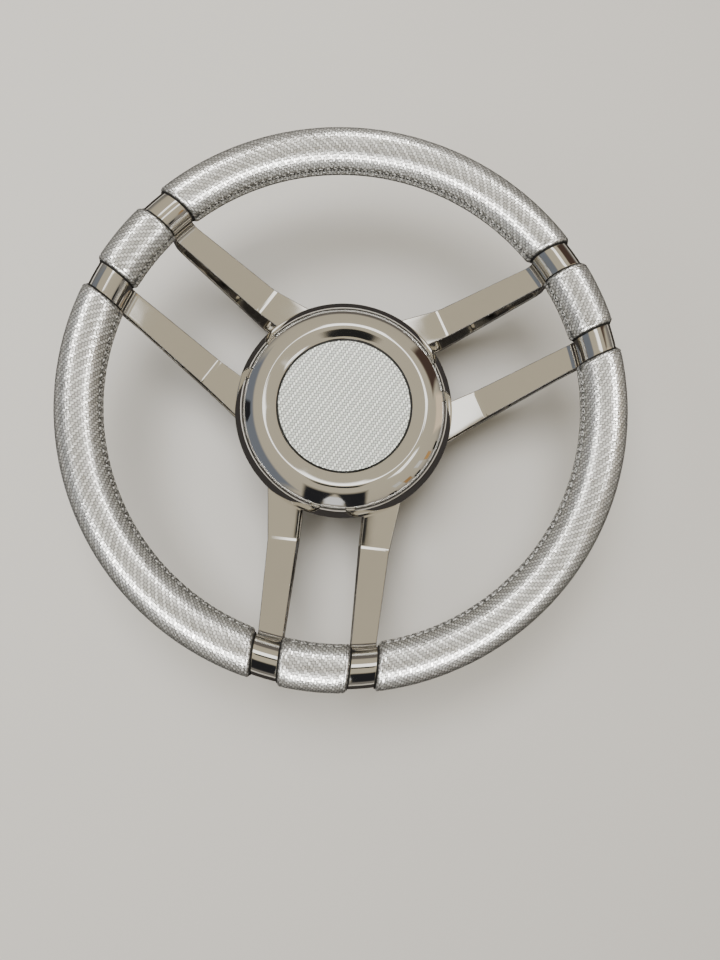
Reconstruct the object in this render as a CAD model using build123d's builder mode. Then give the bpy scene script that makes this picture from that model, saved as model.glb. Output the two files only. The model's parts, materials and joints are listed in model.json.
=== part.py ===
"""Three-spoke-pair marine steering wheel: padded rim, six polished strap spokes, domed hub bezel.

Frame: the wheel's axis is +Z, pointing at the driver. The origin is the centre of the hub boss's rear
face. One spoke pair points along -Y, and the other two follow at 120 degrees each way. Millimetres.
"""

from build123d import *
from math import asin, atan, cos, degrees, radians, sin, sqrt
import os

os.makedirs("parts", exist_ok=True)

# ---------------------------------------------------------------- driving dimensions
# Wheel
wheel_diameter = 350.0  # outside the padded grip
grip_radius = 13.9  # of the padded tube's round section
rim_height = 92.0  # the rim's centre plane above the boss's rear face
# Each spoke pair's name and direction from +X, and the name of the long grip that follows it anticlockwise
spoke_pairs = (("lower", -90.0, "right"), ("right", 30.0, "top"), ("left", 150.0, "left"))
rim_radius = wheel_diameter / 2 - grip_radius

# Rim tube, foam core and wrap
ring_radius = 6.0  # the steel ring inside the rim
ring_wall = 1.5
wrap_thickness = 1.1
grip_end_round = 2.4
collar_radius = 11.7  # of the spoke's collar, which the ring passes through
gasket_thickness = 0.5
gasket_radius = 12.3
fit_gap = 0.05  # between pieces that are pushed together

# Spokes: one bent strap each, seen from the side as a long loop that opens into two tabs at the hub
strap_thickness = 3.0
strap_inner_edge = 20.9  # every strap's inner edge runs this far from its pair's centre line
strap_rim_width = 15.5  # measured across the strap at the rim
upper_bend_drop = 40.0  # from the rim's centre plane to the upper strap's face, in the hub's plane
upper_rim_drop = 13.0  # the same, where the upper strap meets its collar
lower_bend_drop = 78.0  # to the lower strap's underside, in the hub's plane
lower_rim_drop = 38.0
bend_radius_out = 87.7  # how far out from the axis the straps bend
strap_rim_out = 144.4  # how far out the upper strap's flat face ends
strap_wall_out = 154.0  # the outer face of the loop's end wall, under the rim
loop_corner = 10.0
bend_round = 6.0
bend_outer_edge = 40.1  # the strap's outer edge at the bend, from the pair's centre line
hub_outer_edge = 46.6  # the same at the tab's end
tab_end_out = 36.0
collar_fillet = 6.5
wall_fillet = 4.0
blend_overrun = 1.0  # the blends run this far past the strap's edges before they are trimmed
strap_edge_round = 0.7
upper_slope = (upper_bend_drop - upper_rim_drop) / (strap_rim_out - bend_radius_out)
lower_slope = (lower_bend_drop - lower_rim_drop) / (strap_rim_out - bend_radius_out)

# Hub
upper_tab_top = rim_height - upper_bend_drop
lower_tab_bottom = rim_height - lower_bend_drop
lower_tab_top = lower_tab_bottom + strap_thickness
upper_tab_bottom = upper_tab_top - strap_thickness
drum_radius = 61.0
drum_bore = 41.0
front_plate_thickness = 4.0
front_plate_bore = 33.0
tab_screw_out = 45.0  # tab screws: distance out along the pair's direction, and to the side of it
tab_screw_side = 31.0
tab_hole_depth = 12.0  # of the drum's tapped holes
screw_tip_gap = 1.0  # left between a screw's tip and the end of its hole

# Boss, with the tapered and keyed bore of a marine helm shaft
boss_base_radius = 38.0
boss_base_height = 8.0
boss_flange_radius = 62.0
boss_neck_radius = 22.0
boss_neck_top = 44.0
boss_chamfer = 0.8
shaft_radius = 9.525  # 3/4 inch shaft
shaft_taper = 1 / 24  # the radius lost per mm: a taper of 1 in 12 on the diameter
bore_mouth_radius = 9.6
bore_mouth_length = 8.0
keyway_width = 4.8
keyway_depth = 2.4

# Bezel and centre cap
bezel_radius = 70.6
bezel_foot_radius = 69.2
bezel_widest_drop = 28.0  # from the rim's centre plane to the bezel's widest circle
bezel_ridge_radius = 51.0
bezel_ridge_drop = 11.0
bezel_wall = 3.5
bezel_foot_gap = 0.3  # the bezel's foot stands this far above the straps
insert_drop = 12.9  # the centre insert's face below the rim's centre plane
insert_radius = 41.9
insert_thickness = 1.5
cap_radius = 42.7
cap_lip = 0.8
bezel_bore = 43.0
bezel_ledge_bore = 37.0
ledge_depth = 11.0  # from the bezel's bore lip down to its ledge
bezel_screw_circle = 40.0
cap_floor = 2.0
cap_clearance = 0.2  # above the ledge
insert_chamfer = 0.3
cap_skirt = 4.1
seal_section = 1.2  # radius of the cap's O-ring section

# Fasteners
m6_radius = 3.0
m6_head_radius = 5.6
m6_head_height = 2.6
m4_radius = 2.0
m4_head_radius = 3.0
m4_head_height = 1.2
hex_share = 0.75  # of a screw's socket to its shank

front_plate_top = upper_tab_top + front_plate_thickness
bezel_lip = rim_height - insert_drop
ledge_top = bezel_lip - ledge_depth


# ---------------------------------------------------------------- helpers
def side_plane(angle):
    """The upright plane through the wheel's axis at an angle: x outwards, y up."""
    outwards = Vector(cos(radians(angle)), sin(radians(angle)), 0)
    return Plane(origin=(0, 0, 0), x_dir=outwards, z_dir=outwards.cross(Vector(0, 0, 1)))


def plan_plane(angle):
    """The level plane at the foot of the boss, with x outwards at an angle and y to the left of that."""
    return Plane(origin=(0, 0, 0), x_dir=(cos(radians(angle)), sin(radians(angle)), 0), z_dir=(0, 0, 1))


def save(piece, name):
    """Labels a finished piece and writes it to its own file."""
    piece.part.label = name
    export_step(piece.part, f"parts/{name}.step")


def edge_angle(offset):
    """How far round the rim a plane at this offset from the pair's centre line cuts its centre circle."""
    return degrees(asin(offset / rim_radius))


strap_outer_edge = strap_inner_edge + strap_rim_width
short_grip_edge = strap_inner_edge - gasket_thickness
long_grip_edge = strap_outer_edge + gasket_thickness
# Each grip's name and its two ends: the direction of the nearest spoke pair and the offset from it
grips = []
for name, angle, span_name in spoke_pairs:
    next_angle = angle + 360 / len(spoke_pairs)
    grips.append((f"short_{name}", angle, -short_grip_edge, angle, short_grip_edge))
    grips.append((f"long_{span_name}", angle, long_grip_edge, next_angle, -long_grip_edge))


def rim_length(start_angle, start_offset, end_angle, end_offset, section_radius, inset, end_round):
    """A length of solid round rim between two planes that lie beside spoke pairs, with rounded ends.

    The inset pulls both ends in along the rim.
    """
    spare_turn = 10.0  # degrees of rim past each end plane, cut off below
    turn = end_angle - start_angle + edge_angle(end_offset) - edge_angle(start_offset)
    cut_depth = 100.0
    with BuildPart() as length:
        with BuildSketch(side_plane(start_angle + edge_angle(start_offset) - spare_turn)):
            with Locations((rim_radius, rim_height)):
                Circle(section_radius)
        revolve(axis=Axis.Z, revolution_arc=turn + 2 * spare_turn)
        start_cut = (start_angle, start_offset + inset - cut_depth / 2)
        end_cut = (end_angle, end_offset - inset + cut_depth / 2)
        for angle, middle in (start_cut, end_cut):
            with BuildSketch(plan_plane(angle)):
                with Locations((rim_radius, middle)):
                    Rectangle(cut_depth, cut_depth)
            extrude(amount=2 * rim_height, mode=Mode.SUBTRACT)
        fillet(edges().filter_by(GeomType.CIRCLE, reverse=True), radius=end_round)
    return length.part


with BuildPart() as ring_space:  # the room the steel ring takes inside every piece on the rim
    with BuildSketch(side_plane(0)):
        with Locations((rim_radius, rim_height)):
            Circle(ring_radius + fit_gap)
    revolve(axis=Axis.Z)


# ---------------------------------------------------------------- rim
with BuildPart() as rim_ring:
    with BuildSketch(side_plane(0)):
        with Locations((rim_radius, rim_height)):
            Circle(ring_radius)
            Circle(ring_radius - ring_wall, mode=Mode.SUBTRACT)
    revolve(axis=Axis.Z)
save(rim_ring, "rim_ring")

core_radius = grip_radius - wrap_thickness
core_round = grip_end_round - wrap_thickness
for name, *ends in grips:
    with BuildPart() as foam:
        add(rim_length(*ends, core_radius - fit_gap, wrap_thickness + fit_gap, core_round))
        add(ring_space.part, mode=Mode.SUBTRACT)
    save(foam, f"foam_core_{name}")

    with BuildPart() as wrap:
        add(rim_length(*ends, grip_radius, 0.0, grip_end_round))
        add(rim_length(*ends, core_radius, wrap_thickness, core_round), mode=Mode.SUBTRACT)
        add(ring_space.part, mode=Mode.SUBTRACT)
    save(wrap, f"grip_wrap_{name}")

with BuildPart() as gaskets:
    with BuildSketch(side_plane(0)):
        with Locations((rim_radius, rim_height)):
            Circle(gasket_radius)
            Circle(ring_radius + fit_gap, mode=Mode.SUBTRACT)
    revolve(axis=Axis.Z)
    with BuildSketch(Plane.XY):
        for name, angle, span_name in spoke_pairs:
            for edge_offset, towards_grip in ((strap_inner_edge, -1), (strap_outer_edge, 1)):
                for side in (-1, 1):
                    middle = side * (edge_offset + towards_grip * gasket_thickness / 2)
                    spot = Vector(rim_radius, middle).rotate(Axis.Z, angle)
                    with Locations(Location(spot, (0, 0, angle))):
                        Rectangle(4 * gasket_radius, gasket_thickness - 2 * fit_gap)
    extrude(amount=2 * rim_height, mode=Mode.INTERSECT)
save(gaskets, "grip_end_gaskets")


# ---------------------------------------------------------------- spokes
def blend_corners(start, run, facing, radius, across):
    """The corners of the concave blend between a flat face and the collar, this far across the spoke.

    The face passes through start and runs along run towards the collar. Its outside is on the facing side.
    The first three points are the blend's arc. The rest close the section inside the metal.
    """
    collar_middle = Vector(sqrt(rim_radius**2 - across**2), rim_height)
    along = (collar_middle - start).dot(run)
    above = (collar_middle - start).dot(facing)
    reach = sqrt((collar_radius + radius) ** 2 - (radius - above) ** 2)
    blend_middle = start + run * (along - reach) + facing * radius
    on_face = blend_middle - facing * radius
    on_collar = blend_middle + (collar_middle - blend_middle).normalized() * radius
    halfway = blend_middle + ((on_face + on_collar) / 2 - blend_middle).normalized() * radius
    sunk = facing * (strap_thickness * 2 / 3)
    return on_face, halfway, on_collar, collar_middle, collar_middle - facing * above - sunk, on_face - sunk


def upper_face_at(out):
    """The height of the upper strap's face this far out from the axis."""
    return upper_tab_top + max(0.0, upper_slope * (out - bend_radius_out))


def outer_edge_at(out):
    """How far the strap's flaring outer edge lies from the pair's centre line, at a radius."""
    if out > strap_rim_out:
        return strap_outer_edge
    near, far = (tab_end_out, hub_outer_edge), (bend_radius_out, bend_outer_edge)
    if out > bend_radius_out:
        near, far = far, (strap_rim_out, strap_outer_edge)
    return near[1] + (far[1] - near[1]) * (out - near[0]) / (far[0] - near[0])


def is_eased_edge(edge, plan):
    """Whether an edge runs along the strap's inner side, or along the outer side of its upper face."""
    points = [plan.to_local_coords(edge @ share) for share in (0, 0.5, 1)]
    if max(point.X for point in points) > strap_wall_out:
        return False
    upright = all(abs(point.X - points[0].X) < fit_gap for point in points)
    inner = all(abs(abs(point.Y) - strap_inner_edge) < fit_gap for point in points)
    outer = all(abs(abs(point.Y) - outer_edge_at(point.X)) < fit_gap for point in points)
    on_face = all(point.Z > upper_face_at(point.X) - strap_thickness / 2 for point in points)
    return not upright and (inner or (outer and on_face))


def build_spoke(angle, side):
    """One polished spoke: the collar round the rim, and the strap loop that ends in two tabs at the hub."""
    wall_run = strap_wall_out - bend_radius_out
    inward_end = tab_end_out - 2 * strap_thickness  # cut back to the tab's end below
    upper_bend = (bend_radius_out, rim_height - upper_bend_drop)
    lower_bend = (bend_radius_out, rim_height - lower_bend_drop)
    upper_wall = (strap_wall_out, upper_bend[1] + upper_slope * wall_run)
    lower_wall = (strap_wall_out, lower_bend[1] + lower_slope * wall_run)
    upper_end = (inward_end, upper_bend[1])
    lower_end = (inward_end, lower_bend[1])
    outline = (upper_end, upper_bend, upper_wall, lower_wall, lower_bend, lower_end)
    bends = ((upper_bend, bend_round), (lower_bend, bend_round), (lower_wall, loop_corner))
    with BuildPart() as spoke:
        # The strap, as a loop of even thickness seen from the side
        with BuildSketch(side_plane(angle)):
            with BuildLine():
                Polyline(*outline, close=True)
            make_face()
            for corner, radius in bends:
                fillet(vertices().sort_by_distance(corner)[0], radius=radius)
            offset(amount=-strap_thickness, mode=Mode.SUBTRACT)
        extrude(amount=2 * strap_outer_edge, both=True)
        # The collar follows the rim's curve
        with BuildSketch(side_plane(angle)):
            with Locations((rim_radius, rim_height)):
                Circle(collar_radius)
        revolve(axis=Axis.Z, revolution_arc=side * 2 * edge_angle(strap_outer_edge))
        # Polished blends from the strap's face up to the collar, and from the loop's end wall to it
        upper_run = Vector(wall_run, upper_wall[1] - upper_bend[1]).normalized()
        for start, run, facing, radius in (
            (upper_bend, upper_run, upper_run.rotate(Axis.Z, 90), collar_fillet),
            (lower_wall, Vector(0, 1), Vector(1, 0), wall_fillet),
        ):
            for across in (strap_inner_edge - blend_overrun, strap_outer_edge + blend_overrun):
                corners = blend_corners(Vector(*start), run, facing, radius, across)
                with BuildSketch(side_plane(angle).offset(-side * across)):
                    with BuildLine():
                        ThreePointArc(*corners[:3])
                        Polyline(*corners[2:], corners[0])
                    make_face()
            loft(ruled=True)
        # The plan outline: the inner edge straight, the outer edge flaring towards the hub
        with BuildSketch(plan_plane(angle)):
            with BuildLine():
                Polyline(
                    (tab_end_out, side * strap_inner_edge),
                    (rim_radius + 2 * collar_radius, side * strap_inner_edge),
                    (rim_radius + 2 * collar_radius, side * strap_outer_edge),
                    (strap_rim_out, side * strap_outer_edge),
                    (bend_radius_out, side * bend_outer_edge),
                    (tab_end_out, side * hub_outer_edge),
                    close=True,
                )
            make_face()
        extrude(amount=2 * rim_height, mode=Mode.INTERSECT)
        add(ring_space.part, mode=Mode.SUBTRACT)
        with BuildSketch(plan_plane(angle)):
            with Locations((tab_screw_out, side * tab_screw_side)):
                Circle(m6_radius + fit_gap)
        extrude(amount=upper_tab_top, mode=Mode.SUBTRACT)
        plan = plan_plane(angle)
        fillet(edges().filter_by(lambda edge: is_eased_edge(edge, plan)), radius=strap_edge_round)
    return spoke


for name, angle, span_name in spoke_pairs:
    for side, hand in ((-1, "a"), (1, "b")):
        save(build_spoke(angle, side), f"spoke_{name}_{hand}")


# ---------------------------------------------------------------- hub
tab_screw_spots = []
bezel_screw_spots = []
for name, angle, span_name in spoke_pairs:
    bezel_screw_spots.append(Vector(bezel_screw_circle, 0).rotate(Axis.Z, angle))
    for side in (-1, 1):
        tab_screw_spots.append(Vector(tab_screw_out, side * tab_screw_side).rotate(Axis.Z, angle))


def screws(spots, head_face, upwards, shank_radius, head_radius, head_height, reach):
    """Countersunk hex-socket screws. Their flat heads lie at head_face and they reach this far in."""
    drive = Plane.XY.offset(head_face) if upwards else Plane(origin=(0, 0, head_face), z_dir=(0, 0, -1))
    spots = [drive.to_local_coords(Vector(spot.X, spot.Y, head_face)) for spot in spots]
    with BuildPart() as screw_set:
        with BuildSketch(drive):
            with Locations(*spots):
                Circle(shank_radius)
        extrude(amount=reach)
        with BuildSketch(drive):
            with Locations(*spots):
                Circle(head_radius)
        extrude(amount=head_height, taper=degrees(atan((head_radius - shank_radius) / head_height)))
        with BuildSketch(drive):
            with Locations(*spots):
                RegularPolygon(shank_radius * hex_share, 6)
        extrude(amount=head_height, mode=Mode.SUBTRACT)
    return screw_set


# The drum stands between the two layers of spoke tabs
with BuildPart() as drum:
    with BuildSketch(Plane.XY.offset(lower_tab_top)):
        Circle(drum_radius)
        Circle(drum_bore, mode=Mode.SUBTRACT)
    extrude(amount=upper_tab_bottom - lower_tab_top)
    for face_height, depth in ((upper_tab_bottom, -tab_hole_depth), (lower_tab_top, tab_hole_depth)):
        with BuildSketch(Plane.XY.offset(face_height)):
            with Locations(*tab_screw_spots):
                Circle(m6_radius + fit_gap)
        extrude(amount=depth, mode=Mode.SUBTRACT)
save(drum, "hub_drum")

m6_taper = degrees(atan((m6_head_radius - m6_radius) / m6_head_height))
m4_taper = degrees(atan((m4_head_radius - m4_radius) / m4_head_height))

# The front plate clamps the upper tabs to the drum
with BuildPart() as front_plate:
    with BuildSketch(Plane.XY.offset(upper_tab_top)):
        Circle(drum_radius)
        Circle(front_plate_bore, mode=Mode.SUBTRACT)
        with Locations(*tab_screw_spots):
            Circle(m6_radius + fit_gap, mode=Mode.SUBTRACT)
        with Locations(*bezel_screw_spots):
            Circle(m4_radius + fit_gap, mode=Mode.SUBTRACT)
    extrude(amount=front_plate_thickness)
    with BuildSketch(Plane.XY.offset(front_plate_top)):
        with Locations(*tab_screw_spots):
            Circle(m6_head_radius + fit_gap)
    extrude(amount=-m6_head_height, taper=m6_taper, mode=Mode.SUBTRACT)
save(front_plate, "hub_front_plate")

front_screws = screws(
    tab_screw_spots,
    front_plate_top,
    False,
    m6_radius,
    m6_head_radius,
    m6_head_height,
    front_plate_thickness + strap_thickness + tab_hole_depth - screw_tip_gap,
)
save(front_screws, "front_tab_screws")

# The boss clamps the lower tabs from behind and carries the shaft
boss_flange_thickness = lower_tab_bottom - boss_base_height
with BuildPart() as boss:
    with BuildSketch(Plane.XY):
        Circle(boss_base_radius)
    extrude(amount=boss_base_height)
    chamfer(faces().sort_by(Axis.Z)[0].edges(), length=boss_chamfer)
    with BuildSketch(Plane.XY.offset(boss_base_height)):
        Circle(boss_flange_radius)
    extrude(amount=boss_flange_thickness)
    chamfer(edges().filter_by(GeomType.CIRCLE).sort_by(SortBy.LENGTH)[-2:], length=boss_chamfer)
    with BuildSketch(Plane.XY.offset(lower_tab_bottom)):
        Circle(boss_neck_radius)
    extrude(amount=boss_neck_top - lower_tab_bottom)
    # The helm shaft's bore: a straight mouth, then the keyed taper
    taper_length = boss_neck_top - bore_mouth_length
    with BuildSketch(side_plane(0)):
        with BuildLine():
            Polyline(
                (0, bore_mouth_length),
                (shaft_radius, bore_mouth_length),
                (shaft_radius - shaft_taper * taper_length, boss_neck_top),
                (0, boss_neck_top),
                close=True,
            )
        make_face()
    revolve(axis=Axis.Z, mode=Mode.SUBTRACT)
    with BuildSketch(Plane.XY):
        Circle(bore_mouth_radius)
    extrude(amount=bore_mouth_length, mode=Mode.SUBTRACT)
    with BuildSketch(Plane.XY):
        with Locations((0, (shaft_radius + keyway_depth) / 2)):
            Rectangle(keyway_width, shaft_radius + keyway_depth)
    extrude(amount=boss_neck_top, mode=Mode.SUBTRACT)
    with BuildSketch(Plane.XY.offset(boss_base_height)):
        with Locations(*tab_screw_spots):
            Circle(m6_radius + fit_gap)
    extrude(amount=boss_flange_thickness, mode=Mode.SUBTRACT)
    with BuildSketch(Plane.XY.offset(boss_base_height)):
        with Locations(*tab_screw_spots):
            Circle(m6_head_radius + fit_gap)
    extrude(amount=m6_head_height, taper=m6_taper, mode=Mode.SUBTRACT)
save(boss, "hub_boss")

rear_screws = screws(
    tab_screw_spots,
    boss_base_height,
    True,
    m6_radius,
    m6_head_radius,
    m6_head_height,
    boss_flange_thickness + strap_thickness + tab_hole_depth - screw_tip_gap,
)
save(rear_screws, "rear_tab_screws")


# ---------------------------------------------------------------- bezel and centre cap
bezel_foot = upper_tab_top + bezel_foot_gap
bezel_widest = rim_height - bezel_widest_drop
bezel_ridge = rim_height - bezel_ridge_drop
shoulder_reach = bezel_radius - bezel_ridge_radius
shoulder_rise = bezel_ridge - bezel_widest
inner_wall = bezel_bore + bezel_wall
shoulder_centre = (bezel_ridge_radius, bezel_widest)
with BuildPart() as bezel:
    with BuildSketch(side_plane(0)):
        with BuildLine():
            Line((bezel_foot_radius, bezel_foot), (bezel_radius, bezel_widest))
            EllipticalCenterArc(shoulder_centre, shoulder_reach, shoulder_rise, arc_size=90)
            Polyline(
                (bezel_ridge_radius, bezel_ridge),
                (bezel_bore, bezel_lip),
                (bezel_bore, ledge_top),
                (bezel_ledge_bore, ledge_top),
                (bezel_ledge_bore, front_plate_top),
                (inner_wall, front_plate_top),
                (inner_wall, bezel_lip - bezel_wall),
                (bezel_ridge_radius, bezel_ridge - bezel_wall),
            )
            EllipticalCenterArc(
                shoulder_centre,
                shoulder_reach - bezel_wall,
                shoulder_rise - bezel_wall,
                arc_size=90,
            )
            Polyline(
                (bezel_radius - bezel_wall, bezel_widest),
                (bezel_foot_radius - bezel_wall, bezel_foot),
                (bezel_foot_radius, bezel_foot),
            )
        make_face()
    revolve(axis=Axis.Z)
    with BuildSketch(Plane.XY.offset(front_plate_top)):
        with Locations(*bezel_screw_spots):
            Circle(m4_radius + fit_gap)
    extrude(amount=ledge_top - front_plate_top, mode=Mode.SUBTRACT)
    with BuildSketch(Plane.XY.offset(ledge_top)):
        with Locations(*bezel_screw_spots):
            Circle(m4_head_radius + fit_gap)
    extrude(amount=-m4_head_height, taper=m4_taper, mode=Mode.SUBTRACT)
save(bezel, "hub_bezel")

bezel_screws = screws(
    bezel_screw_spots,
    ledge_top,
    False,
    m4_radius,
    m4_head_radius,
    m4_head_height,
    ledge_top - front_plate_top + front_plate_thickness,
)
save(bezel_screws, "bezel_screws")

# The cap pulls off for access to the shaft nut. Its lip shows as a thin black line round the insert.
insert_seat = bezel_lip - insert_thickness
cap_bottom = ledge_top + cap_clearance
seal_height = (cap_bottom + insert_seat - cap_floor) / 2
seal_middle = bezel_bore - fit_gap - seal_section
with BuildPart() as cap:
    with BuildSketch(Plane.XY.offset(cap_bottom)):
        Circle(cap_radius)
    extrude(amount=bezel_lip - cap_clearance / 2 - cap_bottom)
    with BuildSketch(Plane.XY.offset(insert_seat)):
        Circle(cap_radius - cap_lip)
    extrude(amount=insert_thickness, mode=Mode.SUBTRACT)
    with BuildSketch(Plane.XY.offset(cap_bottom)):
        Circle(cap_radius - cap_skirt)
    extrude(amount=insert_seat - cap_floor - cap_bottom, mode=Mode.SUBTRACT)
    with BuildSketch(side_plane(0)):
        with Locations((cap_radius, seal_height)):
            Rectangle(2 * (cap_radius - seal_middle + seal_section), 2 * seal_section + 2 * fit_gap)
    revolve(axis=Axis.Z, mode=Mode.SUBTRACT)
save(cap, "centre_cap")

with BuildPart() as seal:
    with BuildSketch(side_plane(0)):
        with Locations((seal_middle, seal_height)):
            Circle(seal_section)
    revolve(axis=Axis.Z)
save(seal, "cap_seal")

with BuildPart() as insert:
    with BuildSketch(Plane.XY.offset(insert_seat)):
        Circle(insert_radius - fit_gap)
    extrude(amount=insert_thickness)
    chamfer(faces().sort_by(Axis.Z)[-1].edges(), length=insert_chamfer)
save(insert, "cap_insert")
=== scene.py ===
"""The looks of the boat steering wheel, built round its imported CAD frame.

Blender's metres are the frame's. The shapes below are worked out in millimetres and scaled when each mesh
is made. The wheel's axis is +Z, the lower spoke pair points along -Y, and the rim stands above the hub.
"""

import json
from math import asin, atan2, ceil, cos, exp, floor, pi, radians, sin, sqrt, tan, tau

import bpy
from mathutils import Matrix, Vector
from mathutils.geometry import tessellate_polygon

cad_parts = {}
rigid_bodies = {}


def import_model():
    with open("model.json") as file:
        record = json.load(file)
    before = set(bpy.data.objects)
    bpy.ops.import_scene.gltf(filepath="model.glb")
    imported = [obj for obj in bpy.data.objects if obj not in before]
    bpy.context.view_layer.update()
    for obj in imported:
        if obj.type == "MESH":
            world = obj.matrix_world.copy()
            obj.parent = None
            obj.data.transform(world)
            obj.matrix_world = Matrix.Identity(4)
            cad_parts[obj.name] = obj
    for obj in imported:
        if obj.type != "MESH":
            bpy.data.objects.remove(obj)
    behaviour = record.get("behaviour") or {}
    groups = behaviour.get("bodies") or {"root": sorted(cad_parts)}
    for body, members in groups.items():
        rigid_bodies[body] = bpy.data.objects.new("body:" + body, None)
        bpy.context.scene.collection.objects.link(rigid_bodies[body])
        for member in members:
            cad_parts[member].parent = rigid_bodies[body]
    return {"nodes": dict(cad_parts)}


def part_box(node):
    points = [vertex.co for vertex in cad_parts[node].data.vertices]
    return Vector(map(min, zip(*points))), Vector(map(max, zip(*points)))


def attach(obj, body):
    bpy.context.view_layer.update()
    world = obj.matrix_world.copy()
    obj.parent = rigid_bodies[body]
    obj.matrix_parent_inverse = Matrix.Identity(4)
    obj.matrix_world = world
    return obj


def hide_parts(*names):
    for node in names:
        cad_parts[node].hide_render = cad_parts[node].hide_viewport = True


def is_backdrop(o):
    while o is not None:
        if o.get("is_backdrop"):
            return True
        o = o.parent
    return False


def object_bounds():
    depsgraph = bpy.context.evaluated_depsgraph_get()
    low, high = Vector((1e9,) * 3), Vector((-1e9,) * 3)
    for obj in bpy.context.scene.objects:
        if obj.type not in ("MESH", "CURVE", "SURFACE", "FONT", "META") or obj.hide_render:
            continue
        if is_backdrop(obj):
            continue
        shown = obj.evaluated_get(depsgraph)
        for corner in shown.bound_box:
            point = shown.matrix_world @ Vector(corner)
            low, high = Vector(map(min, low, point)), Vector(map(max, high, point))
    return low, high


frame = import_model()
cad_low, cad_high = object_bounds()
MM = 0.001

# ---------------------------------------------------------------- sizes, in millimetres
# Rim and grips, as in the frame
wrap_low, wrap_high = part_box("grip_wrap_long_top")
ring_low, ring_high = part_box("rim_ring")
grip_radius = (wrap_high.z - wrap_low.z) / 2 / MM
rim_height = (wrap_high.z + wrap_low.z) / 2 / MM
ring_radius = (ring_high.z - ring_low.z) / 2 / MM
rim_radius = ring_high.x / MM - ring_radius
wrap_thickness = 1.1
grip_end_round = 2.4
fit_gap = 0.05
spoke_pairs = (("lower", -90.0, "right"), ("right", 30.0, "top"), ("left", 150.0, "left"))

# Spokes: one bent strap loop each, with a collar round the rim
strap_thickness = 3.0
strap_inner_edge = 20.9
strap_outer_edge = 36.4
gasket_thickness = 0.5
collar_radius = 11.7
upper_tab_top = 52.0
lower_tab_bottom = 14.0
bend_out = 87.7
rim_face_end = 144.4
upper_slope = 27.0 / 56.7
lower_slope = 40.0 / 56.7
wall_out = 154.0
loop_corner = 10.0
bend_round = 11.0  # 6 in the frame: the surfaces differ by a quarter of a millimetre at most
bend_outer_edge = 40.1
hub_outer_edge = 46.6
tab_end_out = 36.0
face_blend = 6.5
wall_blend = 4.0
edge_round = 0.6

# Seam along each grip's inner side
seam_angle = radians(175)  # round the tube's section, from straight outwards over the top
seam_half_width = 1.7
seam_depth = 0.75
seam_upper_lip = 0.25
seam_lower_lip = 0.6
stitch_pitch = 5.2
thread_radius = 0.36

yarn_pitch = 1.54  # of the twill that the grips and the centre insert are covered with
insert_weave_turn = radians(12.7)


# ---------------------------------------------------------------- mesh helpers
def make_piece(name, points, faces, material, body, uvs=None):
    """A mesh object from points in millimetres. The uvs give one pair for each corner of each face."""
    mesh = bpy.data.meshes.new(name)
    mesh.from_pydata([tuple(c * MM for c in point) for point in points], [], faces)
    mesh.polygons.foreach_set("use_smooth", [True] * len(faces))
    if uvs is not None:
        layer = mesh.uv_layers.new(name="surface")
        layer.data.foreach_set("uv", [value for corner in uvs for value in corner])
    mesh.materials.append(material)
    mesh.update()
    piece = bpy.data.objects.new(name, mesh)
    bpy.context.scene.collection.objects.link(piece)
    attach(piece, body)
    return piece


def grid(rows, columns, close_rows, close_columns, first=0):
    """Quads over a grid of points stored row by row, and the row and column of each face corner."""
    faces = []
    corners = []
    for row in range(rows if close_rows else rows - 1):
        for column in range(columns if close_columns else columns - 1):
            quad = ((row, column), (row, column + 1), (row + 1, column + 1), (row + 1, column))
            faces.append([first + (r % rows) * columns + c % columns for r, c in quad])
            corners.extend(quad)
    return faces, corners


def keep_faces_flat(piece, sharp_angle=radians(50)):
    """Lets large faces keep their own normals, so that rounded edges shade well."""
    modifier = piece.modifiers.new("normals", "WEIGHTED_NORMAL")
    modifier.keep_sharp = True
    piece.data.set_sharp_from_angle(angle=sharp_angle)


def lathe(name, profile, material, body, turns=256):
    """A ring from a closed outline of (radius, height) points, turned about the wheel's axis."""
    points = []
    for step in range(turns):
        angle = tau * step / turns
        points.extend((r * cos(angle), r * sin(angle), z) for r, z in profile)
    faces, corners = grid(turns, len(profile), True, True)
    lengths = [0.0]
    for (r0, z0), (r1, z1) in zip(profile, profile[1:] + profile[:1]):
        lengths.append(lengths[-1] + sqrt((r1 - r0) ** 2 + (z1 - z0) ** 2))
    uvs = [(row / turns * tau * profile[0][0], lengths[column]) for row, column in corners]
    piece = make_piece(name, points, faces, material, body, uvs)
    keep_faces_flat(piece)
    return piece


def arc(centre, radius, start, end, steps, squash=1.0):
    """Points along an arc in a plane, from one angle to another, in degrees. Squash scales its height."""
    angles = [radians(start + (end - start) * step / steps) for step in range(steps + 1)]
    return [(centre[0] + radius * cos(a), centre[1] + squash * radius * sin(a)) for a in angles]


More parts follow.
